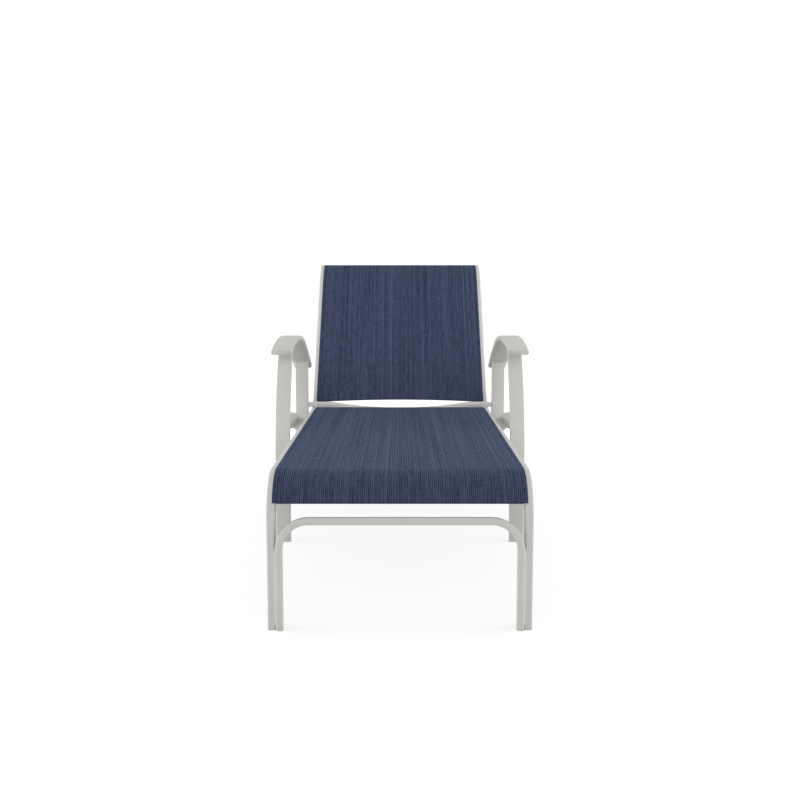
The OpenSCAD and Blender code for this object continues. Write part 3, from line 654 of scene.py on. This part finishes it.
posts = {}
for side, label in ((-1, "left"), (1, "right")):
    for kind, bm in (("front", front_post()), ("rear", rear_post())):
        close_and_place(bm, side)
        post = piece_from(bm, kind + "_post_bar_" + label, "frame", paint)
        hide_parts(kind + "_post_" + label)
        posts[kind, label] = post
        print(post.name, len(post.data.polygons), "faces")

# %% [markdown]
# ## Caps
#
# The open ends of the arms take moulded caps. Each is a plate of the arm's section with an eased rim.

# %% Caps in the arms' ends
CAP_T = 3.5 * MM
CAP_EASE = 1 * MM
# Each row is a centre, the distance and angle of the end from it, and the way out of the arm
arm_ends = ((front_centre, FRONT_R, -FRONT_TURN, -1), (tail_centre, TAIL_R, CREST_TURN + TAIL_TURN, 1))

caps = bmesh.new()
for side in (-1, 1):
    for centre, reach, angle, way in arm_ends:
        cap = bar_section(ARM_W, ARM_T, ARM_CORNER)
        outer = verts_in(bmesh.ops.extrude_face_region(cap, geom=cap.faces[:])["geom"])
        bmesh.ops.translate(cap, vec=(0, 0, -way * CAP_T), verts=outer)
        rim = [e for e in cap.edges if e.verts[0] in outer and e.verts[1] in outer]
        bmesh.ops.bevel(cap, geom=rim, offset=CAP_EASE, offset_type="OFFSET", segments=3, profile=0.5,
                        affect="EDGES", material=-1)
        bmesh.ops.transform(cap, matrix=in_arm_frame(side) @ section_at(centre, reach, angle), verts=cap.verts)
        bmesh.ops.recalc_face_normals(cap, faces=cap.faces)
        held = bpy.data.meshes.new("cap")
        cap.to_mesh(held)
        cap.free()
        caps.from_mesh(held)
        bpy.data.meshes.remove(held)
arm_plugs = piece_from(caps, "arm_end_caps", "frame", plastic)
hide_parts("arm_caps")
print(arm_plugs.name, len(arm_plugs.data.polygons), "faces")

# %% [markdown]
# ## Welds
#
# The frame's tubes are welded, and under the paint each joint keeps a low rounded bead. A bead is a
# thin tube that runs round the joint, and it swells and shrinks a little, as a hand weld does. Round
# tubes meet the rails square, so their beads are circles. A post runs up into its curved arm, and
# there a ray along each edge of the post finds where the arm's surface is. The swept leg is cut to
# fit the side of the post, so its bead follows the outline of the corners that touch the post.

# %% A bead of weld along closed lines of points
BEAD_R = 1.7 * MM
POST_BEAD_R = 1.5 * MM


def bead(name, body, rings, radius=BEAD_R):
    bm = bmesh.new()
    for points in rings:
        loops = []
        for i, point in enumerate(points):
            along = (points[(i + 1) % len(points)] - points[i - 1]).normalized()
            turn = Matrix.Translation(point) @ along.to_track_quat("Z", "Y").to_matrix().to_4x4()
            swell = radius * (1 + 0.14 * math.sin(i * 2.1) * math.cos(i * 0.37))
            made = bmesh.ops.create_circle(bm, segments=8, radius=swell, matrix=turn)
            loops.append(list({edge for vert in made["verts"] for edge in vert.link_edges}))
        for i in range(len(loops)):
            bmesh.ops.bridge_loops(bm, edges=loops[i - 1] + loops[i])
    bmesh.ops.recalc_face_normals(bm, faces=bm.faces)
    piece = piece_from(bm, name, body, paint)
    print(name, len(piece.data.polygons), "faces")


# %% Beads round the cross tubes
BEAD_OUT = 0.3 * MM
TUBE_R = 10 * MM
HINGE_TUBE_R = 9.5 * MM
TUBE_DROP = 21 * MM
FRONT_TUBE_Y = FRONT_Y + 152 * MM
MID_TUBE_Y = FRONT_Y + 725 * MM
LOWER_TUBE = 70 * MM
TOP_TURN = 0.8 * ROLL_ANGLE


def ring_at(x, y, z, radius, count=40):
    turns = [2 * math.pi * i / count for i in range(count)]
    return [Vector((x, y + radius * math.cos(turn), z + radius * math.sin(turn))) for turn in turns]


roll_reach = ROLL_R - PIVOT_RISE - TUBE_DROP
top_tube = back_point(ROLL_R - roll_reach * math.cos(TOP_TURN), BACK_STRAIGHT + roll_reach * math.sin(TOP_TURN))
lower_tube = back_point(PIVOT_RISE + TUBE_DROP, LOWER_TUBE)
tube_places = {
    "frame": [(FRONT_TUBE_Y, SEAT_H - TUBE_DROP, TUBE_R), (MID_TUBE_Y, SEAT_H - TUBE_DROP, TUBE_R),
              (HINGE_Y, PIVOT_Z, HINGE_TUBE_R)],
    "back": [(lower_tube.y, lower_tube.z, TUBE_R), (top_tube.y, top_tube.z, TUBE_R)]}
for body, tubes in tube_places.items():
    rings = [ring_at(side * RAIL_IN, y, z, r + BEAD_OUT) for y, z, r in tubes for side in (-1, 1)]
    bead(body + "_tube_welds", body, rings)

# %% Beads round the posts' tops and the swept legs' ends
TOUCH = 0.7 * MM
DIRECTIONS = 90
OUTLINE_POINTS = 64


def surface_of(piece):
    mesh = piece.data
    return BVHTree.FromPolygons([v.co for v in mesh.vertices], [p.vertices for p in mesh.polygons])


def joint_outline(part, other):
    surface = surface_of(other)
    touching = [v.co.copy() for v in part.data.vertices if surface.find_nearest(v.co, TOUCH)[0]]
    centre = sum(touching, Vector()) / len(touching)
    spread = sorted(touching, key=lambda p: (p - centre).length)
    long_way = (spread[-1] - centre).normalized()
    beside = ((p - centre) - long_way * (p - centre).dot(long_way) for p in touching)
    wide_way = max(beside, key=lambda q: q.length).normalized()
    outer = {}
    for point in touching:
        away = point - centre
        angle = math.atan2(away.dot(wide_way), away.dot(long_way))
        direction = round(angle / (2 * math.pi) * DIRECTIONS)
        if direction not in outer or away.length > (outer[direction] - centre).length:
            outer[direction] = point
    corners = [outer[k] for k in sorted(outer)]
    lengths = [(corners[i] - corners[i - 1]).length for i in range(len(corners))]
    step = sum(lengths) / OUTLINE_POINTS
    line = []
    for i, corner in enumerate(corners):
        pieces = max(1, round(lengths[i] / step))
        line += [corners[i - 1].lerp(corner, k / pieces) for k in range(pieces)]
    return line


def crossing(part, other):
    surface = surface_of(other)
    hits = []
    for edge in part.data.edges:
        low, high = sorted((part.data.vertices[i].co for i in edge.vertices), key=lambda v: v.z)
        along = high - low
        if along.z > 0.5 * along.length:  # an edge that runs up the post
            hit = surface.ray_cast(low, along.normalized(), along.length)[0]
            if hit:
                hits.append(hit)
    centre = sum(hits, Vector()) / len(hits)
    return sorted(hits, key=lambda h: math.atan2(h.y - centre.y, h.x - centre.x))


arm_rings = []
for side in ("left", "right"):
    arm_rings.append(crossing(posts["front", side], arms[side]))
    arm_rings.append(crossing(posts["rear", side], arms[side]))
    arm_rings.append(joint_outline(nodes["rear_leg_" + side], nodes["front_post_" + side]))
bead("arm_frame_welds", "frame", arm_rings, POST_BEAD_R)

# %% [markdown]
# The brace's legs stand against the front legs and are welded to them. Each side has one long seam
# in front: a low bead with a sharp corner, rooted in the gap. It tapers off at both ends.

# %% Long seams between the front legs and the brace
SEAM_LOW = 7 * MM
SEAM_HIGH = 190 * MM
SEAM_FADE = 14 * MM
SEAM_START = 2 * MM
SEAM_LEAST = 0.08
SEAM_ROOT = 3.5
SEAM_STEPS = 60
# Corners of the section in millimetres: outwards from the leg's inner side, and back from its front
SEAM_SECTION = ((-0.4, -2.6), (0.8, -1.3), (2.4, -0.45), (4.4, 0.1), (4, SEAM_ROOT), (-0.5, SEAM_ROOT))

bm = bmesh.new()
for side in (-1, 1):
    loops = []
    for k in range(SEAM_STEPS + 1):
        height = SEAM_LOW + (SEAM_HIGH - SEAM_LOW) * k / SEAM_STEPS
        from_end = min(height - SEAM_LOW + SEAM_START, SEAM_HIGH - height)
        share = SEAM_LEAST + (1 - SEAM_LEAST) * smooth_step(from_end / SEAM_FADE)
        share *= 1 + 0.02 * math.sin(k * 2.3)
        ring = []
        for x, y in SEAM_SECTION:
            y_here = FRONT_Y + (SEAM_ROOT + (y - SEAM_ROOT) * share) * MM
            ring.append(bm.verts.new((side * (RAIL_IN + x * share * MM), y_here, height)))
        loops.append([bm.edges.new((ring[i - 1], ring[i])) for i in range(len(ring))])
    for i in range(1, len(loops)):
        bmesh.ops.bridge_loops(bm, edges=loops[i - 1] + loops[i])
bmesh.ops.holes_fill(bm, edges=bm.edges[:], sides=0)
bmesh.ops.recalc_face_normals(bm, faces=bm.faces)
seams = piece_from(bm, "front_leg_seams", "frame", paint)
print(seams.name, len(seams.data.polygons), "faces")

# %% [markdown]
# ## Floor and light
#
# The floor is white and meets a white background. Two big soft lamps stand at the sides and a
# weaker one in front, so the sides of the tubes are bright and their undersides dark. The floor has
# a glow that only the camera sees and that grows with the distance. It takes the floor to the white
# of the background and leaves the soft shadow under the frame.

# %% The floor
FLOOR_HALF = 9
GLOW_STARTS, GLOW_ENDS = 1.1, 2.6
GLOW_NEAR, GLOW_FAR = 0.745, 1.05
LIT_WHITE, SEEN_WHITE = (0.86, 0.86, 0.86, 1), (0.27, 0.27, 0.27, 1)

bm = bmesh.new()
bmesh.ops.create_grid(bm, x_segments=2, y_segments=2, size=FLOOR_HALF)
floor_mesh = bpy.data.meshes.new("studio_floor")
bm.to_mesh(floor_mesh)
bm.free()
floor = bpy.data.objects.new("studio_floor", floor_mesh)
bpy.context.collection.objects.link(floor)
floor_paint = bpy.data.materials.new("white_floor")
floor_paint.use_nodes = True
tree = floor_paint.node_tree
shader = tree.nodes["Principled BSDF"]
shader.inputs["Roughness"].default_value = 0.9
shader.inputs["Specular IOR Level"].default_value = 0.0
shader.inputs["Emission Color"].default_value = (1, 1, 1, 1)
seen = node_of(tree, "ShaderNodeLightPath").outputs["Is Camera Ray"]
where = node_of(tree, "ShaderNodeTexCoord")
reach = node_of(tree, "ShaderNodeVectorMath", operation="LENGTH")
tree.links.new(where.outputs["Object"], reach.inputs[0])
glow = node_of(tree, "ShaderNodeMapRange", interpolation_type="SMOOTHSTEP")
for label, value in (
        ("From Min", GLOW_STARTS), ("From Max", GLOW_ENDS), ("To Min", GLOW_NEAR), ("To Max", GLOW_FAR)):
    glow.inputs[label].default_value = value
tree.links.new(reach.outputs["Value"], glow.inputs["Value"])
tree.links.new(math_of(tree, "MULTIPLY", seen, glow.outputs[0]), shader.inputs["Emission Strength"])
tree.links.new(mix_of(tree, seen, LIT_WHITE, SEEN_WHITE), shader.inputs["Base Color"])
floor.data.materials.append(floor_paint)
print("floor:", 2 * FLOOR_HALF, "m wide")

# %% The lamps
LAMP_AIM = Vector((0, 0, 0.35))
# Width and height in metres, power in watts
SIDE_LAMP = (2.6, 2.2, 88)
FRONT_LAMP = (3.0, 2.0, 42)


def soft_lamp(name, place, width, height, power):
    data = bpy.data.lights.new(name, "AREA")
    data.shape = "RECTANGLE"
    data.size, data.size_y = width, height
    data.energy = power
    lamp = bpy.data.objects.new(name, data)
    lamp.location = place
    lamp.rotation_euler = (LAMP_AIM - Vector(place)).to_track_quat("-Z", "Y").to_euler()
    bpy.context.collection.objects.link(lamp)
    print(name, power, "W")


soft_lamp("left_softbox", (-3.2, -0.2, 1.15), *SIDE_LAMP)
soft_lamp("right_softbox", (3.2, -0.2, 1.15), *SIDE_LAMP)
soft_lamp("front_softbox", (0, -4.6, 2.3), *FRONT_LAMP)

# %% [markdown]
# The world is plain white. The camera, reflections and clear parts see it at full strength, but it
# lights the frame with only six tenths of that, or the shadows would wash out.

# %% The world
ROOM_LIGHT = 0.62

world = bpy.data.worlds.new("studio_white")
bpy.context.scene.world = world
world.use_nodes = True
tree = world.node_tree
background = tree.nodes["Background"]
rays = node_of(tree, "ShaderNodeLightPath")
shown = math_of(tree, "MAXIMUM", rays.outputs["Is Camera Ray"], rays.outputs["Is Glossy Ray"])
shown = math_of(tree, "MAXIMUM", shown, rays.outputs["Is Transmission Ray"])
level = math_of(tree, "MULTIPLY_ADD", shown, 1 - ROOM_LIGHT, ROOM_LIGHT)
background.inputs["Color"].default_value = (1, 1, 1, 1)
tree.links.new(level, background.inputs["Strength"])
bpy.context.scene.view_settings.view_transform = "Standard"
print("world light:", ROOM_LIGHT)
